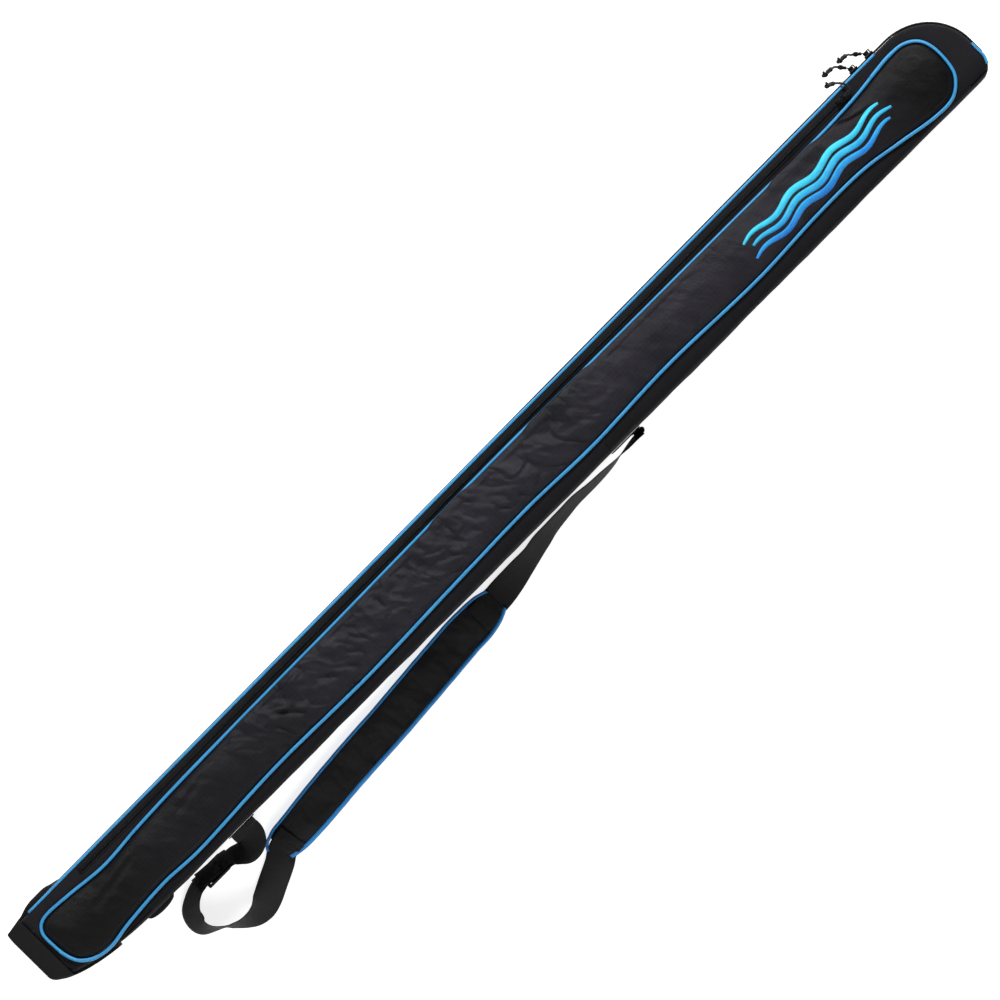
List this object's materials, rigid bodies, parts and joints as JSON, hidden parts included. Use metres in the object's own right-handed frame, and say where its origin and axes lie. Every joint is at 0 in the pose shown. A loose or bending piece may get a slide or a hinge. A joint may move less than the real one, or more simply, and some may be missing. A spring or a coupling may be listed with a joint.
{
  "type": "rod case",
  "caption": "Long semi-rigid fabric rod case with a zip-open front, piped pocket panel, moulded base cap and padded shoulder strap, lying on its flat back.",
  "frame": {"origin": "centre of the flat back face", "axes": "+X to the top end, +Y to the zip side, -Y to the strap side, +Z out of the front"},
  "size_m": [1.6442, 0.2563, 0.1007],
  "materials": {
    "shell_fabric": "coarse woven polyester, matt",
    "panel_fabric": "fine woven nylon, slightly satin",
    "piping": "satin covered piping",
    "binding": "woven binding tape",
    "webbing": "ribbed webbing, matt",
    "zip_tape": "woven tape, matt",
    "zip_coil": "nylon coil, low sheen",
    "slider": "black enamel",
    "cord": "braided cord",
    "board": "plain sheet",
    "cap": "moulded, fine grain",
    "buckle": "moulded, low sheen"
  },
  "bodies": {
    "case_back": {"back_panel": "shell_fabric", "zip_side_gusset": "shell_fabric", "top_end_gusset": "shell_fabric", "strap_side_gusset": "shell_fabric", "base_gusset": "shell_fabric", "back_stiffener": "board", "base_cap": "cap", "base_stiffener": "board", "main_zip_tape_back": "zip_tape", "main_zip_chain_back": "zip_coil", "main_zip_stop": "zip_coil", "upper_strap_anchor": "webbing", "lower_strap_anchor": "webbing", "base_side_tab": "webbing"},
    "case_front": {"front_shell": "shell_fabric", "front_stiffener": "board", "front_pocket_panel": "panel_fabric", "pocket_panel_piping": "piping", "left_edge_piping": "piping", "top_edge_piping": "piping", "hinge_tape": "zip_tape", "main_zip_tape_front": "zip_tape", "main_zip_chain_front": "zip_coil", "pocket_zip_tape": "zip_tape", "pocket_zip_chain": "zip_coil"},
    "zip_slider_upper": {"main_slider_upper": "slider"},
    "zip_pull_upper": {"main_slider_upper_tab": "slider", "main_slider_upper_cord": "cord", "main_slider_upper_knot": "cord"},
    "zip_slider_lower": {"main_slider_lower": "slider"},
    "zip_pull_lower": {"main_slider_lower_tab": "slider", "main_slider_lower_cord": "cord", "main_slider_lower_knot": "cord"},
    "pocket_zip_slider": {"pocket_slider": "slider"},
    "pocket_pull": {"pocket_slider_tab": "slider", "pocket_slider_cord": "cord", "pocket_slider_knot": "cord"},
    "strap": {"strap_upper_webbing": "webbing", "shoulder_pad": "shell_fabric", "pad_binding_inner": "binding", "pad_binding_outer": "binding", "strap_lower_webbing": "webbing", "strap_adjuster": "buckle", "strap_anchor_webbing": "webbing"}
  },
  "joints": [
    {"name": "front_opening", "type": "hinge", "parent": "case_back", "child": "case_front", "pos_m": [0, -0.0532, 0.088], "axis": [1, -0.0028, 0], "range_deg": [0, 110]},
    {"name": "upper_slider_travel", "type": "slide", "parent": "case_back", "child": "zip_slider_upper", "axis": [1, 0.0027, 0], "range_m": [0, 0.018]},
    {"name": "lower_slider_travel", "type": "slide", "parent": "case_back", "child": "zip_slider_lower", "axis": [1, 0.0027, 0], "range_m": [-1.4, 0]},
    {"name": "upper_pull_swing", "type": "hinge", "parent": "zip_slider_upper", "child": "zip_pull_upper", "pos_m": [0.7295, 0.06639, 0.079], "axis": [0, 0, 1], "range_deg": [-40, 36]},
    {"name": "lower_pull_swing", "type": "hinge", "parent": "zip_slider_lower", "child": "zip_pull_lower", "pos_m": [0.7025, 0.06632, 0.079], "axis": [0, 0, 1], "range_deg": [-36, 44]},
    {"name": "pocket_slider_travel", "type": "slide", "parent": "case_front", "child": "pocket_zip_slider", "axis": [1, 0.0012, 0], "range_m": [-1.33, 0]},
    {"name": "pocket_pull_swing", "type": "hinge", "parent": "pocket_zip_slider", "child": "pocket_pull", "pos_m": [0.6644, 0.0478, 0.0946], "axis": [0, -1, 0], "range_deg": [0, 20]},
    {"name": "strap_swing", "type": "hinge", "parent": "case_back", "child": "strap", "pos_m": [0, -0.064, 0.06], "axis": [-1, 0, 0], "range_deg": [0, 60]}
  ]
}
